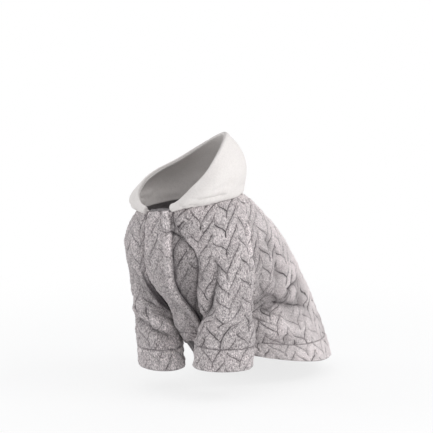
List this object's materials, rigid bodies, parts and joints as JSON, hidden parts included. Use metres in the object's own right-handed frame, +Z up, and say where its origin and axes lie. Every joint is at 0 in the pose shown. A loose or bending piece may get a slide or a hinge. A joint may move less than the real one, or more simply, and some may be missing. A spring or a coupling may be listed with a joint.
{
  "type": "dog sweatshirt",
  "caption": "Small dog's grey embossed plush coat with raglan sleeves, a lapped front and a white fleece hood worn down, in its worn shape.",
  "frame": {"origin": "where the coat rests on the wearer's withers, on the inner face of the back under the neck seam", "axes": "+Z up, -Y the way the wearer faces, +X the wearer's left"},
  "size_m": [0.1412, 0.2524, 0.2653],
  "materials": {
    "grey_plush": "matte",
    "white_fleece": "matte"
  },
  "bodies": {
    "root": {"back": "grey_plush", "front_left": "grey_plush", "front_right": "grey_plush", "hem_back": "grey_plush", "hem_front_left": "grey_plush", "hem_front_right": "grey_plush", "sleeve_left": "grey_plush", "sleeve_right": "grey_plush", "cuff_left": "grey_plush", "cuff_right": "grey_plush", "hood_left": "white_fleece", "hood_right": "white_fleece"}
  },
  "joints": []
}
